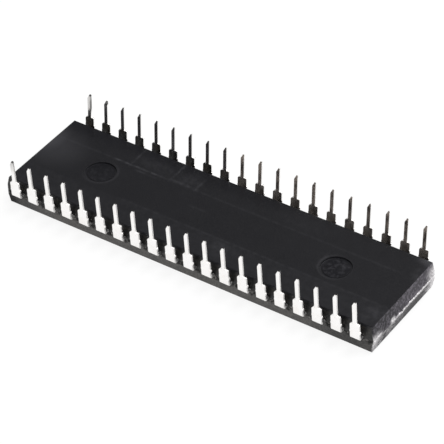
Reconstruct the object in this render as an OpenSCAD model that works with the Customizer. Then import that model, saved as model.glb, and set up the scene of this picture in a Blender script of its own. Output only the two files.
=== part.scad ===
// Dual in-line integrated circuit in a wide plastic package, lying on its marked face.
// Millimetres. +Z up, X along the package, the leads point up in two rows at plus and minus Y.
// The origin is under the centre of the package, on the surface that it lies on.

/* [Leads] */
// Leads in each of the two rows
leads_per_row = 20; // [12:2:22]
// Distance between neighbouring leads
lead_pitch = 2.54; // [2.2:0.01:3]
// Distance between the two rows, where the leads turn upwards
row_spacing = 15.24; // [14:0.01:18]
// Thickness of the lead strip
lead_t = 0.25; // [0.2:0.01:0.35]
// Inside radius of the bend beside the body
bend_r = 0.14; // [0.1:0.01:0.3]
// Lean of the leads, outwards from upright, in degrees
splay = 3.3; // [0:0.1:8]
// Width of the wide shoulder
shoulder_w = 1.27; // [1.1:0.01:1.5]
// Width of the corner cut at the shoulder's end, on the side of the tip's slant
shoulder_cut_w = 0.2; // [0.1:0.01:0.3]
// Height of that corner cut
shoulder_cut_h = 0.24; // [0.1:0.01:0.5]
// Corner cut at the shoulder's end on the other side
shoulder_nick = 0.07; // [0.02:0.01:0.2]
// Width of the thin pin
pin_w = 0.49; // [0.36:0.01:0.56]
// Length of the thin pin, from the shoulder to the tip
pin_l = 3.34; // [2.9:0.01:5]
// Height of the shoulders above the seating face
standoff = 0.56; // [0.4:0.01:1]
// Height of the slanting cut on one side of the tip
tip_cut_h = 0.56; // [0.1:0.01:0.8]
// Width of the slanting cut on that side of the tip
tip_cut_w = 0.27; // [0.05:0.01:0.28]
// Corner cut on the other side of the tip
tip_nick = 0.05; // [0.02:0.01:0.06]
// Length of the wedge that the tip is pressed to, through its thickness
tip_wedge_l = 0.35; // [0.1:0.01:0.8]
// Thickness left at the end of the wedge
tip_wedge_t = 0.19; // [0.05:0.01:0.2]
// Height of the trimmed tie-bar stubs above the lead plane
stub_rise = 0.97; // [0.8:0.01:1.4]
// Height of a trimmed stub along the lead
stub_h = 0.28; // [0.15:0.01:0.4]
// How far the stub stands out on the lead's right edge
stub_right = 0.1; // [0.02:0.01:0.15]
// How far the stub stands out on the lead's left edge
stub_left = 0.04; // [0.02:0.01:0.15]

/* [Moulded body] */
// From the last lead's centre to the end of the body
end_margin = 2.1; // [1.5:0.01:3]
// From the body's side to the middle of the upright lead
side_gap = 0.73; // [0.7:0.01:1.2]
// Thickness of the moulding on the marked side of the parting line
marked_half = 1.93; // [1.6:0.01:2.6]
// Thickness of the moulding on the seating side of the parting line
seat_half = 1.93; // [1.6:0.01:2.6]
// Draft of the two long sides, in degrees
side_draft = 4.5; // [3:0.5:12]
// Draft of the two ends, in degrees
end_draft = 11.5; // [3:0.5:15]
// Small edge break round both flat faces
edge_cut = 0.06; // [0.03:0.01:0.2]
// Radius of the upright corners at the parting line
corner_r = 0.35; // [0.1:0.05:1]
// Diameter of the two ejector marks on the seating face
ejector_d = 3.9; // [2:0.1:5]
// Depth of the ejector marks
ejector_depth = 0.2; // [0.05:0.01:0.3]
// Width of the groove round the rim of each ejector mark
ejector_groove_w = 0.3; // [0.1:0.01:0.6]
// Depth of that groove below the rest of the mark
ejector_groove_depth = 0.05; // [0.03:0.01:0.3]
// From each end of the body to the middle of its ejector mark
ejector_from_end = 9.35; // [5:0.05:12]
// Radius of the index notch at the first lead's end of the marked face
notch_r = 1.25; // [0.8:0.05:1.6]
// Depth of the index notch
notch_depth = 0.7; // [0.3:0.05:1.2]
// Width of the scar where the moulding gate broke off
gate_w = 8.1; // [4:0.1:10]
// Middle of the gate scar, off the package's centre line
gate_y = 1.35; // [-2:0.05:2]
// Height of the gate scar
gate_h = 0.36; // [0.2:0.01:0.6]
// How far the gate scar stands out of the end
gate_out = 0.06; // [0.03:0.01:0.15]
// Number of jags along the broken edge of the gate scar
gate_jags = 14; // [6:1:24]

/* [Lead frame inside] */
// Width of a finger beside the pad
finger_w = 0.3; // [0.25:0.01:0.4]
// Gap between neighbouring fingers beside the pad
finger_gap = 0.25; // [0.2:0.01:0.4]
// Width of a finger under the side of the body
stem_w = 0.6; // [0.45:0.01:0.9]
// Length of the wide anchor inside the side of the body
anchor_l = 0.9; // [0.6:0.05:1.1]
// Fingers of each quarter that end beside the pad's short side
end_fingers = 4; // [3:1:4]
// Rise of the slanting runs for each millimetre of length
run_slope = 0.06; // [0.04:0.005:0.08]
// Distance between neighbouring runs that end beside the pad's long side
run_pitch = 0.5; // [0.48:0.01:0.52]
// Straight length of the first long-side finger before its run
run_lead_in = 0.4; // [0.3:0.01:0.45]
// Gap between the finger ends and the pad
pad_gap = 0.25; // [0.2:0.01:0.5]
// Width of the bars that hold the pad from both ends
tie_w = 0.5; // [0.3:0.01:0.7]
// Height that the pad is set off the fingers' plane
downset = 0.2; // [0.1:0.01:0.4]
// Length of the slanting step in each bar
downset_l = 0.6; // [0.3:0.05:1.2]

/* [Die and bonds] */
// Bare pad left round the die
pad_border = 0.7; // [0.4:0.05:1.2]
// Thickness of the die
die_t = 0.35; // [0.2:0.01:0.5]
// Thickness of the adhesive under the die
attach_t = 0.03; // [0.02:0.01:0.06]
// How far the adhesive spreads past the die
attach_fillet = 0.08; // [0.02:0.01:0.2]
// Thickness of a bond wire
wire_d = 0.03; // [0.025:0.001:0.05]
// Height of the wire loops over the die
loop_h = 0.2; // [0.1:0.01:0.4]
// Distance of the bond pads from the die's edge
bond_inset = 0.12; // [0.08:0.01:0.2]
// Distance of the wire's stitch from the finger's end
stitch_inset = 0.2; // [0.15:0.01:0.4]
// Height of the wire's upright foot on its stitch
stitch_rise = 0.06; // [0.04:0.01:0.1]

/* [Hidden] */
$fn = 48;
gate_seed = 7;                              // picks one set of jags
overrun = 0.5;                              // length by which a cutting tool runs past a face
row_l = (leads_per_row - 1) * lead_pitch;
body_l = row_l + 2 * end_margin;
body_w = row_spacing - 2 * side_gap;
body_t = marked_half + seat_half;
lead_z = marked_half + lead_t / 2;          // middle of the lead strip inside the body
shoulder_z = body_t + standoff;
tip_z = shoulder_z + pin_l;
bend_mid_r = bend_r + lead_t / 2;
bend_angle = 90 - splay;
bend_tangent = bend_mid_r * tan(bend_angle / 2);
quarter = leads_per_row / 2;
side_fingers = quarter - end_fingers;       // fingers of a quarter beside the pad's long side
finger_pitch = finger_w + finger_gap;
window_x = side_fingers * finger_pitch + finger_gap / 2;
window_y = tie_w / 2 + finger_gap / 2 + end_fingers * finger_pitch;
pad_x = window_x - pad_gap;
pad_y = window_y - pad_gap;
die_x = pad_x - pad_border;
die_y = pad_y - pad_border;
pad_z = marked_half + downset;              // face of the pad that carries the die
die_back_z = pad_z - attach_t;
die_face_z = die_back_z - die_t;
loop_z = min(die_face_z, marked_half) - loop_h;

function lead_name(n) = str("lead_", n < 10 ? "0" : "", n);

// Lead numbers run along the back row, then return along the front row.
function in_back_row(n) = n <= leads_per_row;
function slot_of(n) = in_back_row(n) ? n - 1 : 2 * leads_per_row - n;
function lead_x(n) = slot_of(n) * lead_pitch - row_l / 2;

// Each finger belongs to one quarter of the frame and is counted from the middle, from 1.
function order_of(n) = round(abs(lead_x(n)) / lead_pitch + 0.5);
function is_side_finger(k) = k <= side_fingers;
function stem_x(k) = (k - 0.5) * lead_pitch;
function end_finger_y(k) = tie_w / 2 + finger_gap + finger_w / 2 + (quarter - k) * finger_pitch;
function side_finger_x(k) = (k - 0.5) * finger_pitch;
function turn_y(k) = window_y + run_lead_in + (side_fingers - k) * run_pitch;
function knee_y(k) = is_side_finger(k)
    ? turn_y(k) + run_slope * (stem_x(k) - side_finger_x(k))
    : end_finger_y(k) + run_slope * (stem_x(k) - window_x);
// Middle line of a finger in the first quarter, from its bonded end to the knee under its lead
function finger_path(k) = is_side_finger(k)
    ? [[side_finger_x(k), window_y], [side_finger_x(k), turn_y(k)], [stem_x(k), knee_y(k)]]
    : [[window_x, end_finger_y(k)], [stem_x(k), knee_y(k)]];
// Place of the wire's stitch on a finger
function stitch_of(k) = is_side_finger(k)
    ? [side_finger_x(k), window_y + stitch_inset]
    : [window_x + stitch_inset, end_finger_y(k) + run_slope * stitch_inset];
// Place of the wire's ball on the die
function ball_of(k) = is_side_finger(k)
    ? [side_finger_x(k) * (die_x - bond_inset) / window_x, die_y - bond_inset]
    : [die_x - bond_inset, end_finger_y(k) * (die_y - bond_inset) / window_y];

// A ribbon of even width along a path, with mitred corners
function unit(v) = v / norm(v);
function left_of(v) = [-v[1], v[0]];
function mitre(path, i) = let (
        last = len(path) - 1,
        before = unit(path[max(i, 1)] - path[max(i, 1) - 1]),
        after = unit(path[min(i + 1, last)] - path[min(i + 1, last) - 1]),
        middle = unit(left_of(before) + left_of(after)))
    middle / (middle * left_of(before));
function ribbon(path, width) = concat(
    [for (i = [0 : len(path) - 1]) path[i] + mitre(path, i) * width / 2],
    [for (i = [len(path) - 1 : -1 : 0]) path[i] - mitre(path, i) * width / 2]);

// Outline of the body in a plane through its middle: half is the half width at the parting line
function drafted(half, draft) = let (
        low = half - marked_half * tan(draft),
        high = half - seat_half * tan(draft),
        slip = edge_cut * tan(draft),
        right = [[low - edge_cut, 0], [low + slip, edge_cut], [half, marked_half],
                 [high + slip, body_t - edge_cut], [high - edge_cut, body_t]])
    concat(right, [for (i = [len(right) - 1 : -1 : 0]) [-right[i][0], right[i][1]]]);

// Front view of a lead: shoulder, trimmed stubs, thin pin and cut tip
function lead_front() = let (
        wide = shoulder_w / 2,
        thin = pin_w / 2,
        stub_low = lead_z + stub_rise,
        stub_high = stub_low + stub_h)
    [[wide, lead_z], [wide, stub_low], [wide + stub_right, stub_low], [wide + stub_right, stub_high],
     [wide, stub_high], [wide, shoulder_z - shoulder_nick], [wide - shoulder_nick, shoulder_z],
     [thin, shoulder_z], [thin, tip_z - tip_nick], [thin - tip_nick, tip_z], [tip_cut_w - thin, tip_z],
     [-thin, tip_z - tip_cut_h], [-thin, shoulder_z], [shoulder_cut_w - wide, shoulder_z],
     [-wide, shoulder_z - shoulder_cut_h], [-wide, stub_high], [-wide - stub_left, stub_high],
     [-wide - stub_left, stub_low], [-wide, stub_low], [-wide, lead_z]];

// Side view of the upright strip along its own length, from the bend to the pressed tip
function strip_side(length) = let (edge = lead_t / 2, tip = tip_wedge_t / 2)
    [[-edge, bend_tangent], [edge, bend_tangent], [edge, length - tip_wedge_l], [tip, length],
     [-tip, length], [-edge, length - tip_wedge_l]];

// The part of a back-row lead outside the body, on the YZ plane
module lead_outside() {
    bend_y = row_spacing / 2 - bend_tangent;
    strip_l = (tip_z - lead_z) / cos(splay);
    intersection() {
        translate([0, row_spacing / 2, lead_z]) rotate([-splay, 0, 0])
            rotate([90, 0, 90]) linear_extrude(height = 2 * shoulder_w, center = true)
                polygon(strip_side(strip_l));
        translate([0, row_spacing, 0]) rotate([90, 0, 0])
            linear_extrude(height = row_spacing) polygon(lead_front());
    }
    translate([0, bend_y, lead_z + bend_mid_r]) rotate([0, 90, 0])
        rotate_extrude(angle = bend_angle)
            translate([bend_r, -shoulder_w / 2]) square([lead_t, shoulder_w]);
    translate([-shoulder_w / 2, body_w / 2 - anchor_l, marked_half])
        cube([shoulder_w, bend_y - body_w / 2 + anchor_l, lead_t]);
}

// The part of a lead inside the body, in the first quarter
module finger(k) {
    translate([0, 0, marked_half]) linear_extrude(height = lead_t)
        polygon(ribbon(finger_path(k), finger_w));
    knee = knee_y(k) - finger_w / 2;
    translate([stem_x(k) - stem_w / 2, knee, marked_half])
        cube([stem_w, body_w / 2 - anchor_l / 2 - knee, lead_t]);
}

// One lead is one strip of metal: the pin, shoulder and bend outside, the finger inside
module lead(n) {
    x = lead_x(n);
    color("gainsboro") mirror([0, in_back_row(n) ? 0 : 1, 0]) {
        translate([x, 0, 0]) lead_outside();
        mirror([x < 0 ? 1 : 0, 0, 0]) finger(order_of(n));
    }
}

// Side view of one pad bar: it starts inside the pad and steps to the fingers' plane
function tie_side() = let (root = pad_x - tie_w, step_end = pad_x + downset_l)
    [[root, pad_z], [pad_x, pad_z], [step_end, marked_half], [body_l / 2, marked_half],
     [body_l / 2, marked_half + lead_t], [step_end, marked_half + lead_t], [pad_x, pad_z + lead_t],
     [root, pad_z + lead_t]];

module die_pad() {
    color("silver") {
        translate([-pad_x, -pad_y, pad_z]) cube([2 * pad_x, 2 * pad_y, lead_t]);
        for (side = [0, 1]) mirror([side, 0, 0]) rotate([90, 0, 0])
            linear_extrude(height = tie_w, center = true) polygon(tie_side());
    }
}

module die_attach() {
    color("lightsteelblue")
        translate([-die_x - attach_fillet, -die_y - attach_fillet, die_back_z])
            cube([2 * (die_x + attach_fillet), 2 * (die_y + attach_fillet), attach_t]);
}

module die() {
    color("slategray") translate([-die_x, -die_y, die_face_z]) cube([2 * die_x, 2 * die_y, die_t]);
}

// A wire leaves the die square to its face, slants across and ends in a short foot on the finger
module bond_wire(ball, stitch) {
    span = stitch - ball;
    reach = norm(span);
    loop = [[0, die_face_z], [0, loop_z], [reach, marked_half - stitch_rise], [reach, marked_half]];
    translate([ball[0], ball[1], 0]) rotate([90, 0, atan2(span[1], span[0])])
        linear_extrude(height = wire_d, center = true) polygon(ribbon(loop, wire_d));
}

module bond_wires() {
    color("gold")
        for (k = [1 : quarter], across = [0, 1], along = [0, 1])
            mirror([across, 0, 0]) mirror([0, along, 0]) bond_wire(ball_of(k), stitch_of(k));
}

// Seen from above, the broken edge of the plastic where it was fed into the mould
function gate_break() = let (
        step = gate_w / gate_jags,
        jags = rands(0, gate_out, gate_jags - 1, gate_seed))
    concat([[-gate_h, 0], [0, 0]], [for (i = [1 : gate_jags - 1]) [jags[i - 1], i * step]],
           [[gate_out, gate_w - step / 2], [0, gate_w], [-gate_h, gate_w]]);

// Cuts one upright corner of the body to a radius
module corner_cutter() {
    difference() {
        translate([-corner_r, -corner_r, -overrun])
            cube([corner_r + overrun, corner_r + overrun, body_t + 2 * overrun]);
        translate([-corner_r, -corner_r, -2 * overrun])
            cylinder(r = corner_r, h = body_t + 4 * overrun);
    }
}

module body_block() {
    difference() {
        intersection() {
            rotate([90, 0, 0]) linear_extrude(height = body_w, center = true)
                polygon(drafted(body_l / 2, end_draft));
            rotate([90, 0, 90]) linear_extrude(height = body_l, center = true)
                polygon(drafted(body_w / 2, side_draft));
        }
        for (across = [0, 1], along = [0, 1]) mirror([across, 0, 0]) mirror([0, along, 0])
            translate([body_l / 2, body_w / 2, 0]) corner_cutter();
    }
    translate([body_l / 2, gate_y - gate_w / 2, marked_half - gate_h / 2])
        linear_extrude(height = gate_h) polygon(gate_break());
}

// A round mark that an ejector pin leaves: a shallow dish with a groove round its rim
module ejector_mark() {
    groove_z = body_t - ejector_depth - ejector_groove_depth;
    difference() {
        translate([0, 0, groove_z]) cylinder(d = ejector_d, h = body_t + overrun - groove_z);
        translate([0, 0, groove_z - overrun])
            cylinder(d = ejector_d - 2 * ejector_groove_w, h = overrun + ejector_groove_depth);
    }
}

module moulded_body() {
    color([0.13, 0.13, 0.14]) difference() {
        body_block();
        for (side = [-1, 1])
            translate([side * (body_l / 2 - ejector_from_end), 0, 0]) ejector_mark();
        translate([-body_l / 2, 0, -overrun]) cylinder(r = notch_r, h = notch_depth + overrun);
        for (n = [1 : 2 * leads_per_row]) lead(n);
        die_pad();
        die_attach();
        die();
        bond_wires();
    }
}

moulded_body();
die_pad();
die_attach();
die();
bond_wires();
for (n = [1 : 2 * leads_per_row])
    lead(n);
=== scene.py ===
# %% [markdown]
# # A dual in-line chip, lying on its marked face
#
# A chip like this is a thin metal frame with a block of black resin moulded round it. The metal that
# stays outside is bent up into two rows of leads. The solids come ready made, at their real size, so
# this lesson gives them their finishes, softens the edges of the metal, adds the small marks that the
# mould leaves, and sets up the light and the camera.

import math
import random

import bmesh
import bpy
from mathutils import Matrix, Vector, noise


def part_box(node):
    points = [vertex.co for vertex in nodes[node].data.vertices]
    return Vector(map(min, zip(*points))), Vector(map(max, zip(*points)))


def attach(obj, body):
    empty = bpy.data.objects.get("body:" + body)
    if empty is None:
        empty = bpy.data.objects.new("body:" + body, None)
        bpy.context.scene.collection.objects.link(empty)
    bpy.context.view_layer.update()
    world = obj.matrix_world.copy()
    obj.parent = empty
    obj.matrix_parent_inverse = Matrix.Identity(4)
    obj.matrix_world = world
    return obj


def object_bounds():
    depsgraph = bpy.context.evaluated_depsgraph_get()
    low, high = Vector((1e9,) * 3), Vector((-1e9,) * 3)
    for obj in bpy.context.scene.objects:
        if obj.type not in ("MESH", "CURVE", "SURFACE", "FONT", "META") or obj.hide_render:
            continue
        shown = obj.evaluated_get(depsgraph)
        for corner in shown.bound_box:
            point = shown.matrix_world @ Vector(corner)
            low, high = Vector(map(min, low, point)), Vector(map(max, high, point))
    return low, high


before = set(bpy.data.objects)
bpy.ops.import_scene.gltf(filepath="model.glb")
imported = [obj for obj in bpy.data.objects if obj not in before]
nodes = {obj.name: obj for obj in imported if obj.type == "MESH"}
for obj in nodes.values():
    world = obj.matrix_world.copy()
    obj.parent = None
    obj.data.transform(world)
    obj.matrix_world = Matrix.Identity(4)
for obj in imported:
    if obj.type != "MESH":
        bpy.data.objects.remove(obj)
cad_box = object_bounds()
MM = 0.001
leads = sorted(name for name in nodes if name.startswith("lead_"))
print("solids:", len(nodes), "of which leads:", len(leads))
print("box in mm:", [round((high - low) / MM, 2) for low, high in zip(*cad_box)])

# %% [markdown]
# ## The camera
#
# A close picture of a small part is taken from some way off with a long lens, so that its far end looks
# hardly smaller than its near end. A camera could be placed by hand and turned until the picture looks
# right. Here it is worked out from angles round the part, which keeps it easy to read: how far round,
# how far up, how much it is tipped to one side, and the point that it looks at.

# %% Place the camera
SENSOR_MM = 36
AZIMUTH, ELEVATION, ROLL = math.radians(34.96), math.radians(39.347), math.radians(-1.818)
DISTANCE = 303.256 * MM
LOOKS_AT = Vector((-1.670, 3.682, 0)) * MM
LENS_MM = 202.863

towards_camera = Vector((math.sin(AZIMUTH) * math.cos(ELEVATION),
                         -math.cos(AZIMUTH) * math.cos(ELEVATION), math.sin(ELEVATION)))
level_right = Vector((math.cos(AZIMUTH), math.sin(AZIMUTH), 0))
level_up = towards_camera.cross(level_right)
camera_right = level_right * math.cos(ROLL) + level_up * math.sin(ROLL)
camera_up = level_up * math.cos(ROLL) - level_right * math.sin(ROLL)

camera_data = bpy.data.cameras.new("camera")
camera_data.sensor_width, camera_data.lens = SENSOR_MM, LENS_MM
camera_data.clip_start, camera_data.clip_end = 10 * MM, 10
camera = bpy.data.objects.new("camera", camera_data)
turn = Matrix((camera_right, camera_up, towards_camera)).transposed().to_4x4()
camera.matrix_world = Matrix.Translation(LOOKS_AT + towards_camera * DISTANCE) @ turn
bpy.context.scene.collection.objects.link(camera)
bpy.context.scene.camera = camera
print("camera stands at", [round(v / MM, 1) for v in camera.matrix_world.translation], "mm")

# %% [markdown]
# ## A short way to write a finish
#
# Every finish below is a tree of nodes: patterns are made from the place on the object, turned into
# masks, and mixed into colour, roughness and a fine bump. They could be wired up in the editor. Written
# out in full they would fill pages, so this small helper keeps the wiring short. It works in
# millimetres, in which the real part and its grain are measured.

# %% A helper for node trees
class Finish:
    """A material, with short ways to add nodes to its tree. Places are in millimetres."""

    def __init__(self, name, **constants):
        self.material = bpy.data.materials.new(name)
        self.material.use_nodes = True
        self.tree = self.material.node_tree
        self.shader = self.tree.nodes["Principled BSDF"]
        for socket, value in constants.items():
            self.shader.inputs[socket.replace("_", " ")].default_value = value
        place = self.tree.nodes.new("ShaderNodeTexCoord").outputs["Object"]
        self.mm = self.shifted(place, scale=(1 / MM,) * 3)
        apart = self.add("SeparateXYZ", {"Vector": self.mm})
        self.x, self.y, self.z = apart.outputs

    def feed(self, socket, value):
        if isinstance(value, bpy.types.NodeSocket):
            self.tree.links.new(value, socket)
        else:
            socket.default_value = value

    def add(self, kind, sockets, **settings):
        node = self.tree.nodes.new("ShaderNode" + kind)
        for name, value in settings.items():
            setattr(node, name, value)
        for name, value in sockets.items():
            self.feed(node.inputs[name], value)
        return node

    def shifted(self, vector, scale=(1, 1, 1), move=(0, 0, 0)):
        return self.add("Mapping", {"Vector": vector, "Location": move, "Scale": scale}).outputs[0]

    def noise(self, per_mm, detail=2.0, stretch=(1, 1, 1)):
        vector = self.shifted(self.mm, scale=stretch)
        return self.add("TexNoise", {"Vector": vector, "Scale": per_mm, "Detail": detail}).outputs[0]

    def calc(self, operation, first, *others):
        """A sum, a product or the like of masks and numbers, one pair after another."""
        for other in others:
            first = self.add("Math", {0: first, 1: other}, operation=operation).outputs[0]
        return first

    def times(self, *factors):
        return self.calc("MULTIPLY", *factors)

    def plus(self, *terms):
        return self.calc("ADD", *terms)

    def minus(self, whole, part):
        return self.calc("SUBTRACT", whole, part)

    def most(self, *masks):
        return self.calc("MAXIMUM", *masks)

    def unsigned(self, value):
        return self.add("Math", {0: value}, operation="ABSOLUTE").outputs[0]

    def ramp(self, value, start, end, low=0.0, high=1.0):
        """Goes smoothly from one number to another between two places."""
        sockets = {"Value": value, "From Min": start, "From Max": end, "To Min": low, "To Max": high}
        return self.add("MapRange", sockets, interpolation_type="SMOOTHSTEP").outputs[0]

    def mix(self, share, a, b):
        mixer = self.add("Mix", {0: share, 6: a, 7: b}, data_type="RGBA")
        return mixer.outputs[2]

    def line(self, value, middle, half_width):
        """1 on a line across one direction, falling to 0 on both sides."""
        away = self.unsigned(self.minus(value, middle))
        return self.ramp(away, 0.0, half_width, 1.0, 0.0)

    def span(self, value, start, end, soft):
        """1 between two places along one direction, with soft ends."""
        return self.times(self.ramp(value, start - soft, start + soft),
                          self.ramp(value, end - soft, end + soft, 1.0, 0.0))

    def patch(self, middle, size, soft):
        """1 inside a rounded patch, falling to 0 at its rim."""
        scale = [1 / s for s in size]
        local = self.shifted(self.mm, scale=scale, move=[-m * s for m, s in zip(middle, scale)])
        away = self.add("VectorMath", {0: local}, operation="LENGTH").outputs["Value"]
        return self.ramp(away, 1 - soft, 1.0, 1.0, 0.0)

    def look(self, colour, roughness):
        self.feed(self.shader.inputs["Base Color"], colour)
        self.feed(self.shader.inputs["Roughness"], roughness)

    def bump(self, height, depth_mm):
        sockets = {"Height": height, "Distance": depth_mm * MM, "Strength": 1.0}
        self.feed(self.shader.inputs["Normal"], self.add("Bump", sockets).outputs[0])

    def put_on(self, *objects):
        for piece in objects:
            piece.data.materials.clear()
            piece.data.materials.append(self.material)
        print(self.material.name, "on", len(objects), "piece(s), from", len(self.tree.nodes), "nodes")


def grey(level, warm=0.0):
    return (level * (1 + warm), level, level * (1 - warm), 1.0)


short_ways = [name for name in vars(Finish) if not name.startswith("_")]
print("short ways to add nodes:", ", ".join(short_ways))

# %% [markdown]
# ## Light
#
# The part lies on a white sheet in soft light. Plain lamps alone would give either a grey sheet or
# burnt metal, so the sheet and the world are made white only where the camera or a reflection looks at
# them. The sheet still takes the shadow, and the part is lit at a plain level. Overhead, what the
# part's gloss sees of the room is dim, and that keeps the black top black.

# %% Spread the sheet
SHEET_SHARE = 0.87      # how much of the sheet's own look is replaced by plain white
SHEET_HALF = 3.0        # half the sheet's width, in metres


def seen_or_mirrored(tree):
    """1 for what the camera, a reflection or a glass looks at, 0 for light that falls on things."""
    path = tree.nodes.new("ShaderNodeLightPath")
    total = path.outputs["Is Camera Ray"]
    for other in ("Is Glossy Ray", "Is Transmission Ray"):
        adder = tree.nodes.new("ShaderNodeMath")
        adder.operation = "MAXIMUM"
        tree.links.new(total, adder.inputs[0])
        tree.links.new(path.outputs[other], adder.inputs[1])
        total = adder.outputs[0]
    return total, path.outputs["Is Camera Ray"]


sheet_mesh = bmesh.new()
bmesh.ops.create_grid(sheet_mesh, x_segments=8, y_segments=8, size=SHEET_HALF)
sheet_data = bpy.data.meshes.new("sheet")
sheet_mesh.to_mesh(sheet_data)
sheet_mesh.free()
sheet = bpy.data.objects.new("sheet", sheet_data)
bpy.context.scene.collection.objects.link(sheet)

paper = Finish("paper", Roughness=0.9)
fibre = paper.noise(1.5, detail=3.0)
paper.feed(paper.shader.inputs["Base Color"], paper.mix(fibre, grey(0.80), grey(0.84)))
paper.bump(fibre, 0.01)
share = paper.times(seen_or_mirrored(paper.tree)[0], SHEET_SHARE)
white = paper.add("Emission", {"Color": grey(1.0), "Strength": 1.0})
blend = paper.add("MixShader", {0: share, 1: paper.shader.outputs[0], 2: white.outputs[0]})
paper.feed(paper.tree.nodes["Material Output"].inputs["Surface"], blend.outputs[0])
paper.put_on(sheet)

# %% Light the room
SKY_SEEN = 0.16         # brightness of the room overhead, as the part's gloss sees it
HORIZON = (0.02, 0.45)  # the room darkens between these heights: 0 is level, 1 is straight up
SKY_LIGHT = 0.62        # brightness of the room as a light

world = bpy.data.worlds.new("room")
world.use_nodes = True
bpy.context.scene.world = world
room_tree = world.node_tree
looked_at, by_camera = seen_or_mirrored(room_tree)
view_direction = room_tree.nodes.new("ShaderNodeTexCoord").outputs["Generated"]
view_height = room_tree.nodes.new("ShaderNodeSeparateXYZ")
room_tree.links.new(view_direction, view_height.inputs[0])


def world_range(value, start, end, low, high):
    node = room_tree.nodes.new("ShaderNodeMapRange")
    for socket, what in zip(node.inputs, (value, start, end, low, high)):
        if isinstance(what, bpy.types.NodeSocket):
            room_tree.links.new(what, socket)
        else:
            socket.default_value = what
    return node.outputs[0]


mirrored = world_range(view_height.outputs["Z"], *HORIZON, 1.0, SKY_SEEN)
not_by_camera = world_range(looked_at, 0.0, 1.0, SKY_LIGHT, mirrored)
brightness = world_range(by_camera, 0.0, 1.0, not_by_camera, 1.0)
room_tree.links.new(brightness, room_tree.nodes["Background"].inputs["Strength"])
room_tree.nodes["Background"].inputs["Color"].default_value = grey(1.0)
print("room as a light:", SKY_LIGHT, "and overhead, as gloss sees it:", SKY_SEEN)

# %% Hang two soft lamps
LAMPS = [  # name, place in mm, width in mm, watts
    ("soft_box", (160, 200, 700), 420, 4.5), ("fill", (420, -160, 360), 300, 1.0)]


def soft_box(name, place_mm, size_mm, watts):
    data = bpy.data.lights.new(name, "AREA")
    data.shape, data.size, data.energy = "DISK", size_mm * MM, watts
    lamp = bpy.data.objects.new(name, data)
    where = Vector(place_mm) * MM
    lamp.matrix_world = Matrix.Translation(where) @ where.to_track_quat("Z", "Y").to_matrix().to_4x4()
    bpy.context.scene.collection.objects.link(lamp)
    return lamp


lamps = [soft_box(*row) for row in LAMPS]
bpy.context.scene.view_settings.view_transform = "Standard"
print("lamps:", [lamp.name for lamp in lamps])

# %% [markdown]
# ## Moulded resin
#
# The black block is resin packed with fine mineral grains. It comes out of a spark-eroded mould, so its
# skin is a fine even grain, a little cloudy, with dull grey specks. A picture could be painted for this,
# but patterns placed in millimetres stay sharp and can be moved by changing one number. The faces of the
# block come first: each is a mask that is 1 on that face and 0 elsewhere, worked out from its size.

# %% Masks for the faces of the body
BODY = [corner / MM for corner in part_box("moulded_body")]
BODY_END, BODY_SIDE, BODY_TOP = -BODY[0].x, BODY[1].y, BODY[1].z
PARTING = BODY_TOP / 2                  # height at which the two halves of the mould meet
END_DRAFT = math.radians(11.5)          # slope of the end walls, both ways from the parting line
END_CORNER, SIDE_CORNER = 0.21, 0.44    # how far in from the widest place each wall's mask begins
SOFT, LINE_SOFT = 0.10, 0.02            # how far these masks fade, and how far at the parting line
FACE_DEPTH = 0.25                       # the seating face's finish goes this far down, into its marks
RIM_DEPTH = (0.10, 0.03)                # the right end's finish fades out between these depths

resin = Finish("moulded_resin", Specular_IOR_Level=0.4)
sides = resin.ramp(resin.z, BODY_TOP - FACE_DEPTH - SOFT, BODY_TOP - FACE_DEPTH, 1.0, 0.0)
seating_face = resin.minus(1.0, sides)
lower = resin.ramp(resin.z, PARTING - LINE_SOFT, PARTING + LINE_SOFT, 1.0, 0.0)
side_edge = BODY_SIDE - SIDE_CORNER
long_side = resin.times(sides, resin.ramp(resin.unsigned(resin.y), side_edge, side_edge + SOFT))
below_rim = resin.ramp(resin.z, BODY_TOP - RIM_DEPTH[0], BODY_TOP - RIM_DEPTH[1], 1.0, 0.0)
slope = resin.times(resin.unsigned(resin.minus(resin.z, PARTING)), math.tan(END_DRAFT))
end_edge = BODY_END - END_CORNER
end_wall = resin.ramp(resin.plus(resin.x, slope), end_edge, end_edge + SOFT)
right_end = resin.times(below_rim, end_wall)
print("body in mm:", [round(2 * BODY_END, 2), round(2 * BODY_SIDE, 2), round(BODY_TOP, 2)])

# %% Patterns in the resin
cloud = resin.noise(0.35, detail=3.0)
grain = resin.noise(9.0, detail=3.0)
fleck = resin.ramp(resin.noise(4.5, detail=4.0), 0.40, 0.62)
speck = resin.ramp(resin.noise(3.0, detail=5.0), 0.46, 0.61)
print("patterns in the resin: cloud, grain, fleck, speck")

# %% [markdown]
# ## Colour of the top and the long walls
#
# The seating face is almost black. Below the leads the long walls are a dull grey, which fades out
# towards both ends of the part. Between the leads painted shade keeps them black down to a ragged
# border, and it darkens their far left end too. One texture for the whole block can't do this, so each
# face gets its own colour, and the masks lay one over another.

# %% Mix the top and the long walls
SHADE_END = 1.15        # below this height the long walls are grey, above it painted shade keeps them dark
SHADE_FADE = 0.45       # height over which the painted shade fades in
TORN = 1.6              # how ragged the border between them is
WARM = 0.08             # share by which the grey of the resin leans to brown
MIDDLE_WHITE = 0.035            # share of white mixed into the middle of the long walls, which lightens them there
TOP_DARK, TOP_LIGHT = (0.0008, 0.0008, 0.0024, 1), (0.0036, 0.0036, 0.0056, 1)

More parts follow.
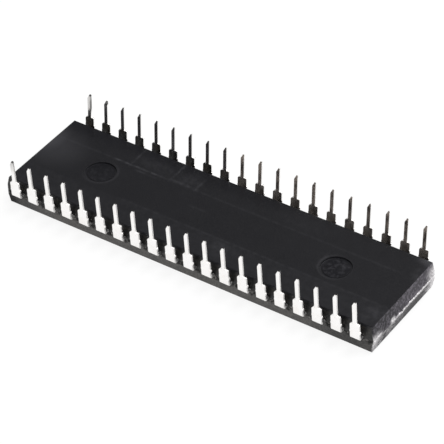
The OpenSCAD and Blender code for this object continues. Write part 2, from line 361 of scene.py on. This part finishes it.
skirt = resin.mix(fleck, grey(0.014, WARM), grey(0.044, WARM))
middle_of_side = resin.span(resin.x, -22.5, 20.5, 2.5)
skirt = resin.mix(resin.times(middle_of_side, MIDDLE_WHITE), skirt, grey(1.0, 0.05))
left_dim = resin.ramp(resin.x, -24.0, -20.0, 0.55, 0.0)
right_dim = resin.ramp(resin.x, 16.5, 20.5, 0.0, 0.5)
corner_dim = resin.ramp(resin.x, 23.6, 25.0, 1.0, 0.4)
skirt = resin.mix(resin.times(resin.plus(left_dim, right_dim), corner_dim), skirt, grey(0.004))

# Painted shade: above a ragged border the lower long walls are painted near black where the leads shade
# them, and so is their far left end.
torn = resin.times(resin.minus(resin.noise(1.6, detail=4.0), 0.5), TORN)
high_up = resin.ramp(resin.plus(resin.z, torn), SHADE_END, SHADE_END + SHADE_FADE)
far_left = resin.ramp(resin.x, -25.6, -24.2, 0.8, 0.0)
painted_shade = resin.times(lower, long_side, resin.most(high_up, far_left))
skirt = resin.mix(painted_shade, skirt, resin.mix(fleck, grey(0.003), grey(0.010, WARM)))

mottle = resin.ramp(resin.noise(1.9, detail=4.0), 0.42, 0.62)
upper_wall = resin.mix(mottle, grey(0.003), grey(0.012, 0.15))
wall = resin.mix(resin.times(lower, long_side), upper_wall, skirt)
body_colour = resin.mix(sides, resin.mix(cloud, TOP_DARK, TOP_LIGHT), wall)
print("long walls go dark above", SHADE_END, "mm")

# %% [markdown]
# ## Colour of the right end
#
# The right end was rubbed when the strip that fed the resin was snapped off. It is a speckled grey with
# a hint of purple, lighter towards the back and duller in the middle of its lower half. It could be one
# noise over the whole wall. Two mixes of the same specks let one side be lighter with no seam.

# %% Mix the right end
DULL_PLACE = 2.0        # place along the end's lower half where the rubbing is dullest
NEAR_PURPLE = (0.006, 0.005, 0.008, 1), (0.050, 0.045, 0.056, 1)    # between the specks, and on them
BACK_PURPLE = (0.026, 0.023, 0.030, 1), (0.080, 0.072, 0.087, 1)

near_specks = resin.mix(speck, *NEAR_PURPLE)
back_specks = resin.mix(speck, *BACK_PURPLE)
rubbed = resin.mix(resin.ramp(resin.y, -3.5, 0.5), near_specks, back_specks)
off_middle = resin.ramp(resin.unsigned(resin.minus(resin.y, DULL_PLACE)), 1.0, 4.0)
dull = resin.times(lower, resin.ramp(off_middle, 0.0, 1.0, 0.75, 0.35))
rubbed = resin.mix(dull, rubbed, grey(0.007, 0.04))
body_colour = resin.mix(right_end, body_colour, rubbed)
print("right end begins at", round(end_edge, 2), "mm")

# %% [markdown]
# ## Faint marks on the seating face
#
# The mould leaves ghosts on the flat face: thin straight lines where its plates meet, lighter hazy
# patches, and the round floors of two ejector pins. They could be cut as grooves, but they have no depth
# to speak of.
# Here each is a soft light mark in the colour, listed with its place, so that a mark is added or moved by
# one row. Two of the patches, at the left end, are a painted sheen, and round each ejector mark a painted
# highlight lies in a halo on one side and along its rim.

# %% Lines, hazy patches and a painted sheen
STROKES = [  # direction, place, across, from, to, strength
    ("y", 3.1, "x", -25.0, 23.5, 0.6), ("y", 3.1, "x", -17.0, -9.8, 1.2),
    ("y", 2.55, "x", -13.3, -10.6, 1.1), ("y", -2.95, "x", -12.0, 25.5, 0.6),
    ("x", -14.66, "y", 3.1, 6.5, 1.2), ("x", -8.78, "y", 3.1, 6.5, 1.4), ("x", -5.1, "y", 3.1, 5.4, 1.0),
    ("y", 0.35, "x", -4.0, -1.4, 0.6), ("y", 3.35, "x", -9.0, -5.0, 0.9)]
STROKE_HALF, STROKE_SOFT = 0.27, 0.7        # half a line's width, and how softly it ends
# The first two patches, at the left end, are a painted sheen; the others are haze.
PATCHES = [  # middle x, middle y, half length, half width, strength
    (-25.2, 1.0, 6.5, 5.0, 1.0), (-25.7, 2.4, 1.9, 3.6, 1.0), (-11.7, 4.6, 4.2, 1.6, 0.55),
    (-6.6, 4.4, 2.2, 1.9, 0.7), (3.4, -4.4, 2.6, 1.9, 0.7), (24.6, -4.6, 2.0, 2.0, 0.8),
    (14.9, 0.1, 0.7, 2.1, 0.6), (17.4, 0.9, 1.3, 0.6, 0.7), (9.5, 4.6, 6.0, 1.6, 0.3),
    (25.7, 4.2, 1.3, 2.6, 0.9), (25.8, 6.6, 2.6, 1.3, 2.2)]
EVEN_PATCH = 1.0         # a patch at least this strong is even, a weaker one is smudged

axes = {"x": resin.x, "y": resin.y}
smudge = resin.ramp(resin.noise(1.3, detail=4.0), 0.36, 0.64, 0.25, 1.0)
near_strip = resin.ramp(resin.y, -2.9, -3.2, 0.0, 0.3)
marks = resin.times(near_strip, smudge)
for direction, place, across, start, end, strength in STROKES:
    stroke = resin.times(resin.line(axes[direction], place, STROKE_HALF),
                         resin.span(axes[across], start, end, STROKE_SOFT))
    marks = resin.plus(marks, resin.times(stroke, smudge, strength))
for middle_x, middle_y, half_x, half_y, strength in PATCHES:
    patch = resin.patch((middle_x, middle_y, BODY_TOP), (half_x, half_y, 1.0), soft=0.85)
    smudged = smudge if strength < EVEN_PATCH else 1.0
    marks = resin.plus(marks, resin.times(patch, smudged, strength))
print("lines:", len(STROKES), "patches:", len(PATCHES))

# %% The two ejector marks
MARK_PLACE, MARK_RADIUS = 16.89, 1.95       # distance from the middle of the part, and size
MARK_SHARE = 0.012                          # how much a mark of strength 1 lightens the resin
MARK_LIGHT = (0.97, 0.96, 1.05, 1)          # colour that the marks lean to
SLANT_X, SLANT_Y = 0.7, 0.4                 # direction in which the painted highlight round a mark runs out
HALO_OUT, HALO_HALF, HALO_LIGHT = 0.22, 0.24, 0.65      # distance outside the mark, half width and strength of the painted highlight
FLOOR_IN = (0.5, 0.2)                       # the mottling fades out this far inside the mark's edge
# where the rim's painted light begins inside the mark and ends outside it, how softly, and how strong
RIM_IN, RIM_OUT, RIM_SOFT, RIM_LIGHT = 0.14, 0.02, 0.04, 0.8
blotches = resin.ramp(resin.noise(1.9, detail=4.0), 0.47, 0.60)


def ejector_mark(side, mottling):
    """One mark's light: mottled floor, painted highlight in a halo and on the rim; and a mask of its
    floor.
    """
    middle_x = side * MARK_PLACE
    from_middle = resin.shifted(resin.mm, scale=(1, 1, 0), move=(-middle_x, 0, 0))
    away = resin.add("VectorMath", {0: from_middle}, operation="LENGTH").outputs["Value"]
    across = resin.plus(resin.times(resin.x, SLANT_X * side), resin.times(resin.y, SLANT_Y))
    lit_until = SLANT_X * side * middle_x
    # Painted highlight: a halo outside the mark on its lit side, and a lighter rim painted over the shade
    # in it.
    lit = resin.ramp(across, lit_until - 1.0, lit_until + 1.4, 1.0, 0.0)
    halo = resin.times(resin.line(away, MARK_RADIUS + HALO_OUT, HALO_HALF), lit, HALO_LIGHT)
    floor = resin.ramp(away, MARK_RADIUS - FLOOR_IN[0], MARK_RADIUS - FLOOR_IN[1], 1.0, 0.0)
    rim = resin.times(resin.span(away, MARK_RADIUS - RIM_IN, MARK_RADIUS + RIM_OUT, RIM_SOFT), RIM_LIGHT)
    return resin.plus(halo, resin.times(floor, blotches, mottling), rim), floor


left_mark, left_floor = ejector_mark(-1, 0.4)
right_mark, right_floor = ejector_mark(1, 0.9)
# Besides the faint lines and haze, these marks carry the painted sheen and the ejector marks' painted
# highlights.
marks = resin.times(resin.plus(marks, left_mark, right_mark), seating_face)
body_colour = resin.mix(resin.times(marks, MARK_SHARE), body_colour, MARK_LIGHT)
print("ejector marks at", (-MARK_PLACE, MARK_PLACE), "mm")

# %% [markdown]
# ## Worn and broken places, and a painted highlight
#
# Where the block was knocked or broken from its feed, the filler in the resin shows white: along the
# parting line of the right end, at its far corner, and as fine dust on its lower half. The near corner has
# a painted highlight. The broken feed itself is part of the solid. The white could follow the sharp edges
# by itself, but real breaks start and stop, so each worn place is set one by one and its border is
# roughened by noise.

# %% Whiten the breaks of the right end, and paint a highlight on its near corner
RAGGED = 0.32           # how far the noise moves the border of a break up or down
FILLER_AND_HIGHLIGHT_WHITE = (0.72, 0.70, 0.71, 1)
rag = resin.minus(resin.noise(2.2, detail=4.0, stretch=(1, 1, 0.3)), 0.5)
level = resin.plus(resin.z, resin.times(rag, RAGGED))
streaks = resin.ramp(resin.noise(1.5, detail=5.0, stretch=(1, 1, 1.8)), 0.42, 0.62)
gaps_in_line = resin.ramp(resin.noise(1.7, detail=3.0), 0.38, 0.50, 0.65, 1.0)

end_line = resin.times(resin.span(level, PARTING - 0.02, PARTING + 0.22, 0.05),
                       resin.span(resin.y, -3.05, 7.5, 0.15), gaps_in_line)
flare = resin.times(resin.patch((26.2, -2.7, 2.15), (2.0, 0.75, 0.55), soft=0.8), 0.7)
near_line = resin.times(resin.span(level, PARTING - 0.05, PARTING + 0.26, 0.12),
                        resin.ramp(resin.y, -4.7, -5.8, 0.0, 0.9))
# Painted highlight: the near corner's lower half is painted white where it catches the light.
near_corner_highlight = resin.times(resin.ramp(resin.y, -4.6, -6.9), resin.ramp(level, 3.0, 2.0),
                          resin.ramp(resin.z, 0.9, 1.7, 0.55, 1.0), 0.75)
far_corner = resin.times(resin.ramp(resin.y, 4.6, 6.8), resin.ramp(level, 3.8, 2.6), 0.8)
breaks_and_highlight = [end_line, flare, near_line, near_corner_highlight, far_corner]
broken_places_and_highlight = resin.times(resin.most(*breaks_and_highlight), resin.ramp(fleck, 0.0, 1.0, 0.6, 1.0))

dusty = resin.times(lower, off_middle, resin.ramp(streaks, 0.0, 1.0, 0.0, 0.55))
under_line = resin.times(lower, resin.ramp(resin.z, PARTING - 0.9, PARTING, 0.0, 0.25))
worn_and_highlit = resin.plus(broken_places_and_highlight, resin.times(resin.plus(dusty, under_line), 0.45))
worn_and_highlit = resin.times(worn_and_highlit, end_wall)
body_colour = resin.mix(worn_and_highlit, body_colour, FILLER_AND_HIGHLIGHT_WHITE)
print("breaks on the right end:", len(breaks_and_highlight))

# %% Dust the long walls under the parting line, and set the gloss
CRUMB_DUST = 0.11                               # share of white in the dust between the leads
LEAST_ROUGH, MOST_ROUGH = 0.36, 0.46            # the grain moves the roughness between these
WORN_DULL, SHADED_DULL, END_DULL = 0.3, 0.5, 0.2    # added on the worn places and the painted highlight, under the painted shade, and where rubbed
FLOOR_GLOSS, BACK_GLOSS = 0.09, 0.07            # taken off in the ejector marks and along the back edge

crumb_dust = resin.times(long_side, resin.span(level, PARTING - 0.55, PARTING + 0.02, 0.08),
                         resin.ramp(resin.noise(2.6, detail=4.0), 0.50, 0.64))
body_colour = resin.mix(resin.times(crumb_dust, CRUMB_DUST), body_colour, grey(1.0, 0.04))
rougher = resin.plus(resin.times(worn_and_highlit, WORN_DULL), resin.times(painted_shade, SHADED_DULL),
                     resin.times(right_end, END_DULL))
back_edge = resin.times(resin.ramp(resin.y, 4.2, 5.8), resin.ramp(resin.x, 2.0, 10.0, 1.0, 0.0),
                        seating_face)
smoother = resin.plus(resin.times(resin.plus(left_floor, right_floor), FLOOR_GLOSS),
                      resin.times(back_edge, BACK_GLOSS))
rough = resin.plus(resin.ramp(grain, 0.3, 0.7, LEAST_ROUGH, MOST_ROUGH), rougher)
resin.look(body_colour, resin.minus(rough, smoother))
resin.bump(resin.plus(grain, resin.times(fleck, sides), worn_and_highlit), 0.010)
resin.put_on(nodes["moulded_body"])

# %% [markdown]
# ## Crumbs of flash
#
# Between the leads a little resin leaks out where the two halves of the mould meet. It is broken off after
# moulding, and crumbs of it stay on the wall. They are too small and too many to draw one by one, so
# each starts as the same ball, which is squashed, roughened by noise and sunk half into the wall.

# %% Find the gaps between the leads
def above_body(name):
    """Middle of the part of a lead that stands above the body, in millimetres."""
    high = [vert.co / MM for vert in nodes[name].data.vertices if vert.co.z > BODY_TOP * MM]
    return sum(high, Vector()) / len(high)


places = [above_body(name) for name in leads]
gaps = []
for side in (-1, 1):
    middles = sorted(place.x for place in places if place.y * side > 0)
    gaps += [(side, (a + b) / 2) for a, b in zip(middles, middles[1:])]
print("gaps between the leads:", len(gaps))

# %% Grow the crumbs
SIDE_DRAFT = math.radians(4.5)  # slope of the long walls
CRUMBS_PER_GAP = 3
CRUMB_SEED = 23
CRUMB_REACH = 0.33              # how far a crumb may lie from the middle of its gap
CRUMB_HEIGHT = (-0.62, 0.18)    # lowest and highest place, from the parting line
CRUMB_HALF = ((0.08, 0.18), (0.05, 0.09), (0.06, 0.15))     # least and most half size, each way
LUMPS, LUMP_SIZE = 0.55, 1.7    # how deep and how close the lumps on a crumb are
NOISE_ROOM = 50                 # each crumb takes its lumps from its own place in a noise this wide

draw = random.Random(CRUMB_SEED)
crumb_mesh = bmesh.new()
for side, gap in gaps:
    for _ in range(CRUMBS_PER_GAP):
        x, z = gap + draw.uniform(-CRUMB_REACH, CRUMB_REACH), PARTING + draw.uniform(*CRUMB_HEIGHT)
        y = side * (BODY_SIDE - abs(z - PARTING) * math.tan(SIDE_DRAFT))
        size = Vector([draw.uniform(*half) for half in CRUMB_HALF])
        ball = bmesh.ops.create_icosphere(crumb_mesh, subdivisions=2, radius=1.0)["verts"]
        seed = Vector((draw.uniform(0, NOISE_ROOM), draw.uniform(0, NOISE_ROOM), 0))
        for vert in ball:
            lumpy = 1 + LUMPS * noise.noise(vert.co * LUMP_SIZE + seed)
            vert.co = (Vector((x, y, z)) + vert.co * size * lumpy) * MM
bmesh.ops.recalc_face_normals(crumb_mesh, faces=crumb_mesh.faces)
crumb_data = bpy.data.meshes.new("flash_crumbs")
crumb_mesh.to_mesh(crumb_data)
print("crumbs:", len(gaps) * CRUMBS_PER_GAP, "faces:", len(crumb_mesh.faces))
crumb_mesh.free()
flash = bpy.data.objects.new("flash_crumbs", crumb_data)
bpy.context.scene.collection.objects.link(flash)
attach(flash, "root")

# %% Finish of the crumbs
broken = Finish("broken_resin", Specular_IOR_Level=0.4)
filler = broken.noise(5.0, detail=4.0)
broken.look(broken.mix(broken.ramp(filler, 0.42, 0.62), grey(0.012, 0.15), grey(0.26, 0.05)),
            broken.ramp(filler, 0.3, 0.7, 0.55, 0.8))
broken.bump(filler, 0.02)
broken.put_on(flash)

# %% [markdown]
# ## Tinned leads
#
# The leads are stamped from a thin strip and dipped in molten tin after moulding. The tin is bright, with
# soft streaks along each lead where it ran off, and it dulls to a faint brown in places. The cut faces
# are duller than the rolled ones. It is made as bare metal whose roughness and colour change along
# streaks, with masks for the cut faces, the tips and the few leads that are stained.
# The tips that face up and the shoulders of the back row's left leads get painted shade.

# %% Masks for the parts of a lead
TIP_TOP = cad_box[1].z / MM
ROOT_ACROSS = (7.36, 7.48)      # between these places across the part, a lead's root ends
TIP_ACROSS = (7.88, 7.96)       # and inside these, its cut tip faces up
FIRST_PAIR_X = (-23.4, -23.2)   # the first lead of each row lies to the left of here
SECOND_X = (-23.0, -20.5)       # and the second one between these
SHOULDER_Z = (4.3, 4.9)         # a lead's shoulder ends between these heights
DULL_FROM = (-6.0, -1.0)        # the back row is dull to the right of here, and has painted shade on its shoulders to the left
tin = Finish("dipped_tin", Metallic=1.0)
facing = tin.add("SeparateXYZ", {"Vector": tin.add("NewGeometry", {}).outputs["True Normal"]}).outputs
sheared = tin.ramp(tin.unsigned(facing[1]), 0.55, 0.35)
rolled = tin.minus(1.0, sheared)
upward = tin.ramp(facing[2], 0.35, 0.6)
back_row = tin.ramp(tin.y, -1.0, 1.0)
root = tin.ramp(tin.unsigned(tin.y), *ROOT_ACROSS, 1.0, 0.0)
# Painted shade: the cut tips that face up are given a dark grey in the next cell.
tip_painted_shade = tin.times(upward, tin.ramp(tin.z, TIP_TOP - 0.12, TIP_TOP - 0.08),
                    tin.ramp(tin.y, *TIP_ACROSS, 1.0, 0.0))
first_pair = tin.ramp(tin.x, *FIRST_PAIR_X, 1.0, 0.0)
second_back = tin.times(back_row, tin.span(tin.x, *SECOND_X, 0.2))
cap = tin.most(tin.times(tin.ramp(tin.z, TIP_TOP - 0.24, TIP_TOP - 0.15, 0.0, 0.9), first_pair),
               tin.times(tin.ramp(tin.z, TIP_TOP - 0.55, TIP_TOP - 0.40, 0.0, 0.9), second_back))
dull_pin = tin.times(back_row, tin.ramp(tin.x, *DULL_FROM), tin.ramp(tin.z, *SHOULDER_Z, 0.7, 1.0))
# Painted shade: the rolled faces of the back row's left shoulders are painted almost black.
shoulder_painted_shade = tin.times(back_row, tin.ramp(tin.x, *DULL_FROM, 0.42, 0.0),
                          tin.ramp(tin.z, 4.9, 4.4), rolled)
print("tips of the leads at", round(TIP_TOP, 2), "mm")

# %% Colour and gloss of the tin
BRIGHT, BROWN = grey(0.93, 0.012), (0.70, 0.60, 0.52, 1)
streak = tin.noise(3.0, detail=3.0, stretch=(1, 1, 0.22))
clouded = tin.noise(1.1, detail=2.0)
tarnish = tin.times(tin.ramp(clouded, 0.40, 0.72), tin.ramp(tin.y, -6.0, 8.0, 0.12, 0.85))
tarnish = tin.times(tin.most(tarnish, tin.times(dull_pin, 0.9)), rolled)
lead_colour = tin.mix(tarnish, BRIGHT, BROWN)

front_stain = tin.times(tin.ramp(back_row, 0.0, 1.0, 0.5, 0.0), tin.ramp(tin.z, 5.5, 7.6))
back_stain = tin.times(back_row, tin.ramp(tin.z, 4.8, 6.0))
stain = tin.times(tin.plus(back_stain, front_stain), first_pair)
stained = tin.mix(tin.ramp(streak, 0.35, 0.65), grey(0.20, 0.02), grey(0.62, 0.02))
lead_colour = tin.mix(stain, lead_colour, stained)

# The roots of the leads, next to the body, are darker, in patches.
root_darkening = tin.ramp(tin.noise(3.5, detail=3.0), 0.40, 0.66, 0.85, 0.55)
lead_colour = tin.mix(tin.times(root, root_darkening), lead_colour, grey(0.03, 0.03))
# Painted shade on up-facing cut tips; the same dark grey on the tops of the first leads and second back
# lead.
lead_colour = tin.mix(tin.most(tip_painted_shade, cap), lead_colour, grey(0.06, 0.04))
lead_colour = tin.mix(shoulder_painted_shade, lead_colour, grey(0.002))

dipped_rough = tin.plus(tin.ramp(streak, 0.3, 0.7, 0.11, 0.20),
                        tin.times(dull_pin, tin.ramp(clouded, 0.35, 0.65, 0.16, 0.34)))
cut_rough = tin.most(tin.ramp(back_row, 0.0, 1.0, 0.72, 0.14), tin.times(upward, 0.72))
tin.look(lead_colour, tin.most(dipped_rough, tin.times(sheared, cut_rough)))
tin.bump(streak, 0.003)
tin.put_on(*[nodes[name] for name in leads])

# %% [markdown]
# ## Soft edges on the metal
#
# Stamping rounds one side of each lead, and the molten tin rounds the rest, so no edge is sharp. The
# solids are exact and sharp. Their edges could be rounded in the shader only, but then the outline stays
# sharp. Modifiers round the real mesh instead: one welds its loose triangles, one joins those that lie in
# one plane, one bevels what is left, and the last closes strips that the bevel made too narrow to see.

# %% Weld, join and bevel each lead
SOFT_EDGE = 0.045 * MM
SAME_PLACE, SAME_AFTER_BEVEL = 0.001 * MM, 0.0002 * MM      # corners nearer than this are made one
FLAT_ANGLE, SHARP_ANGLE = math.radians(1), math.radians(35)
for name in leads:
    lead = nodes[name]
    lead.modifiers.new("weld", "WELD").merge_threshold = SAME_PLACE
    flat = lead.modifiers.new("join", "DECIMATE")
    flat.decimate_type, flat.angle_limit = "DISSOLVE", FLAT_ANGLE
    soft = lead.modifiers.new("soften", "BEVEL")
    soft.width, soft.segments, soft.profile = SOFT_EDGE, 2, 0.5
    soft.limit_method, soft.angle_limit = "ANGLE", SHARP_ANGLE
    lead.modifiers.new("close", "WELD").merge_threshold = SAME_AFTER_BEVEL
print("softened by", SOFT_EDGE / MM, "mm")

# %% [markdown]
# ## The sealed pieces
#
# Inside the block are the pad, its adhesive, the die and the bond wires. They never show, but a
# reader may hide the block and look, so each gets the finish that it really has: bare strip,
# silver-filled paste, polished silicon with its grid of circuits, and drawn gold.

# %% Finishes of the sealed pieces
strip = Finish("bare_strip", Metallic=1.0)
rolling = strip.noise(2.0, detail=3.0, stretch=(0.1, 1, 1))
strip.look(strip.mix(rolling, grey(0.66, 0.02), grey(0.76, 0.02)),
           strip.ramp(rolling, 0.3, 0.7, 0.24, 0.42))
strip.bump(rolling, 0.004)
strip.put_on(nodes["die_pad"])

paste = Finish("silver_paste", Metallic=0.4)
flakes = paste.noise(14.0, detail=2.0)
paste.look(paste.mix(flakes, grey(0.42), grey(0.66)), paste.ramp(flakes, 0.3, 0.7, 0.4, 0.7))
paste.bump(flakes, 0.01)
paste.put_on(nodes["die_attach"])

silicon = Finish("silicon", Metallic=0.2)
blocks = silicon.add("TexBrick", {"Vector": silicon.mm, "Scale": 2.0, "Color1": (0.16, 0.19, 0.27, 1),
                                  "Color2": (0.30, 0.27, 0.24, 1), "Mortar": (0.55, 0.52, 0.40, 1),
                                  "Mortar Size": 0.02}).outputs[0]
silicon.look(blocks, silicon.ramp(silicon.noise(6.0), 0.3, 0.7, 0.12, 0.25))
silicon.bump(silicon.noise(20.0), 0.001)
silicon.put_on(nodes["die"])

gold = Finish("drawn_gold", Metallic=1.0)
drawn = gold.noise(30.0, detail=2.0)
gold.look(gold.mix(drawn, (0.93, 0.68, 0.26, 1), (0.98, 0.77, 0.38, 1)),
          gold.ramp(drawn, 0.3, 0.7, 0.12, 0.28))
gold.bump(drawn, 0.0005)
gold.put_on(nodes["bond_wires"])

# %% [markdown]
# ## The sizes
#
# The finishes and the small additions must not make the part any larger than the box of its solids.
